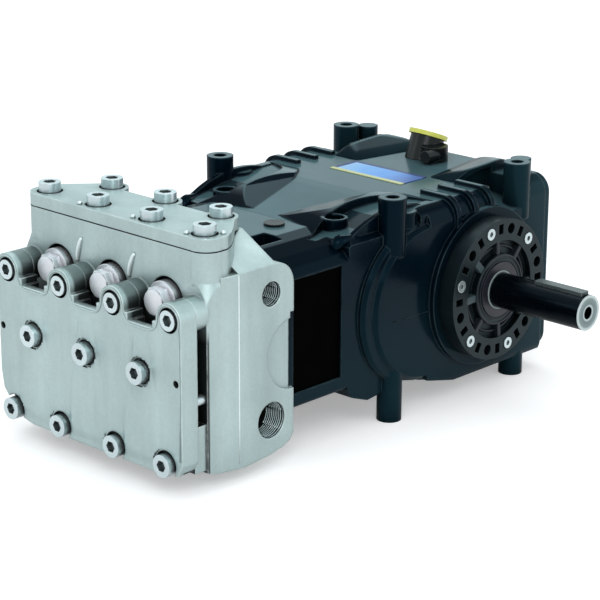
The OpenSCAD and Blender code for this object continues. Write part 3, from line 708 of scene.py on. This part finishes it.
def web(v, f, angle, half):
    """A radial web with a chamfered top, from the hub to the ring."""
    a = math.radians(angle)
    d = Vector((0, math.cos(a), math.sin(a)))
    n = Vector((0, -math.sin(a), math.cos(a)))
    c = Vector((0, SHAFT_Y, SHAFT_Z))
    o = len(v)
    hub_r, ring_r = 45.6, 64.4
    for x, w in ((HOLLOW_FLOOR, half + 0.6), (HUB_FACE - 1.7, half), (HUB_FACE - 1.0, half - 0.8)):
        for r in (hub_r, ring_r):
            for sgn in (-1, 1):
                v.append(c + d * r + n * sgn * w + Vector((x, 0, 0)))
    for p in (o, o + 4):
        q = p + 4
        f += [(p, p + 1, q + 1, q), (p + 2, p + 3, q + 3, q + 2), (p, p + 2, q + 2, q),
              (p + 1, p + 3, q + 3, q + 1)]
    f.append((o + 8, o + 9, o + 11, o + 10))


def web_piece(name, angles, half, mat):
    v, f = [], []
    for angle in angles:
        web(v, f, angle, half)
    piece(name, v, f, mat, smooth=False)


def hollow_pad():
    """A curved pad on the hollow's floor, between the two wide webs."""
    v, f = [], []
    steps, first, sweep = 14, 143, 33
    top = HOLLOW_FLOOR + 2.2
    section = ((HOLLOW_FLOOR, 54.5), (top, 55.5), (top, 60.0), (HOLLOW_FLOOR, 61.0))
    for i in range(steps + 1):
        a = math.radians(first + sweep * i / steps)
        v += [(x, SHAFT_Y + r * math.cos(a), SHAFT_Z + r * math.sin(a)) for x, r in section]
    for i in range(steps):
        f += [(i * 4 + c, i * 4 + c + 1, i * 4 + c + 5, i * 4 + c + 4) for c in range(3)]
    f += [(0, 1, 2, 3), (steps * 4 + 3, steps * 4 + 2, steps * 4 + 1, steps * 4)]
    # painted light: the pad is pale grey where light falls on the hollow's floor
    piece("hollow_pad", v, f, "pad_lit", smooth=False)


web_piece("bearing_cover_webs", (0, 48, 93, 228, 274, 318), 3.0, "web_grey")
# painted light: the two wide webs are a paler copy of the other webs' grey
web_piece("bearing_cover_wide_webs", (136, 183), 4.6, "web_lit")
hollow_pad()
ring_piece("hub_ridge_outer", 43.0, 45.8, HUB_FACE, 1.2)
ring_piece("hub_ridge_inner", 37.4, 39.4, HUB_FACE, 1.0)
ring_piece("hollow_step", 54.0, 57.5, HOLLOW_FLOOR + 0.2, 3.0)


# Rounded front end of each front hood's rim

def rim_end(name, side):
    """A thick bead that follows the rim down to the plunger chamber."""
    way = [(136.5, -172.0, 246.0), (136.0, -182.0, 243.5), (135.0, -190.0, 243.0), (134.0, -196.0, 243.2),
           (132.6, -200.0, 242.6), (131.4, -203.5, 240.0), (130.6, -206.5, 236.0), (130.2, -208.0, 232.0)]
    radii = (4.0, 6.2, 7.2, 8.2, 8.6, 8.0, 6.6, 4.0)
    v, f = tube([(side * x, y, z) for x, y, z in way], radii, 16)
    piece(name, v, f, "black_paint")


for label, side in SIDES:
    rim_end("rim_end_" + label, side)


# Casting seam on both sides of the casing

def casting_seam(name, side):
    """A fine bead that falls a little towards the back."""
    y_front, z_front, run, fall = -138, 134.0, 90.0, 2.0
    x = side * (CASE_SIDE + 0.05)
    pts = [(x, y, z_front - fall * (y - y_front) / run) for y in range(y_front + 2, -46, 6)]
    v, f = tube(pts, [0.75] * len(pts), 8)
    piece(name, v, f, "black_paint")


for label, side in SIDES:
    casting_seam("casting_seam_" + label, side)


# Camera at the photograph's viewing angle, in metres and degrees

CAM_TURN, CAM_DOWN, CAM_ROLL = 43.37, 17.84, 0.25
CAM_PLACE = (1.81637, -2.04980, 0.97479)
CAM_FOCAL = 2174.907 / 600.0


def set_camera():
    cam_data = bpy.data.cameras.new("camera")
    cam = bpy.data.objects.new("camera", cam_data)
    scene.collection.objects.link(cam)
    th, ph, ro = (math.radians(a) for a in (CAM_TURN, CAM_DOWN, CAM_ROLL))
    right = Vector((math.cos(th), math.sin(th), 0.0))
    ahead = Vector((-math.sin(th) * math.cos(ph), math.cos(th) * math.cos(ph), -math.sin(ph)))
    up = right.cross(ahead)
    rolled_right = right * math.cos(ro) + up * math.sin(ro)
    rolled_up = up * math.cos(ro) - right * math.sin(ro)
    rot = Matrix((rolled_right, rolled_up, -ahead)).transposed()
    cam.matrix_world = Matrix.Translation(CAM_PLACE) @ rot.to_4x4()
    cam_data.sensor_width = 36.0
    cam_data.lens = CAM_FOCAL * cam_data.sensor_width
    cam_data.clip_end = 60.0
    scene.camera = cam


set_camera()


# Floor, lamps and background

def pale_floor(half):
    """A matt floor that the camera sees a little brighter, so that it joins the white background."""
    me = bpy.data.meshes.new("floor")
    corners = [(-half, -half, 0), (half, -half, 0), (half, half, 0), (-half, half, 0)]
    me.from_pydata(corners, [], [(0, 1, 2, 3)])
    floor = bpy.data.objects.new("floor", me)
    scene.collection.objects.link(floor)
    mat = bpy.data.materials.new("floor_pale")
    mat.use_nodes = True
    t = mat.node_tree
    bsdf = t.nodes["Principled BSDF"]
    bsdf.inputs["Base Color"].default_value = (0.93, 0.94, 0.95, 1)
    bsdf.inputs["Roughness"].default_value = 0.9
    bsdf.inputs["Specular IOR Level"].default_value = 0.1
    bsdf.inputs["Emission Color"].default_value = (1, 1, 1, 1)
    path = t.nodes.new("ShaderNodeLightPath")
    glow = math_node(t, "MULTIPLY", path.outputs["Is Camera Ray"], 0.34)
    t.links.new(glow, bsdf.inputs["Emission Strength"])
    me.materials.append(mat)


LAMP_TARGET = (0.0, -0.12, 0.14)


def softbox(name, direction, distance, size, radiance):
    """A rectangular lamp that faces the middle of the pump."""
    d = Vector(direction).normalized()
    data = bpy.data.lights.new(name, "AREA")
    data.shape = "RECTANGLE"
    data.size, data.size_y = size
    data.energy = radiance * math.pi * size[0] * size[1]
    o = bpy.data.objects.new(name, data)
    o.location = Vector(LAMP_TARGET) + d * distance
    o.rotation_euler = d.to_track_quat("Z", "Y").to_euler()
    scene.collection.objects.link(o)


def studio_world():
    """Soft grey light, and a white background for the camera and for reflections."""
    world = bpy.data.worlds.new("studio")
    scene.world = world
    world.use_nodes = True
    t = world.node_tree
    path = t.nodes.new("ShaderNodeLightPath")
    bent = math_node(t, "MAXIMUM", path.outputs["Is Glossy Ray"], path.outputs["Is Transmission Ray"])
    seen = math_node(t, "MAXIMUM", path.outputs["Is Camera Ray"], bent)
    backdrop = mixed(t, path.outputs["Is Glossy Ray"], (1.0, 1.0, 1.0), (0.84, 0.97, 1.0))
    light = t.nodes["Background"]
    t.links.new(mixed(t, seen, (0.72, 0.74, 0.75), backdrop), light.inputs["Color"])
    light.inputs["Strength"].default_value = 1.0


pale_floor(14.0)
softbox("key", (0.62, -0.62, 0.62), 3.0, (1.3, 1.3), 3.6)
softbox("top", (-0.15, 0.25, 1.0), 2.6, (2.0, 2.0), 1.2)
softbox("side", (1.0, 0.35, 0.35), 3.0, (1.0, 1.6), 1.2)
softbox("left", (-0.75, -0.9, 0.45), 3.0, (1.0, 1.6), 1.0)
studio_world()

scene.view_settings.view_transform = "Standard"
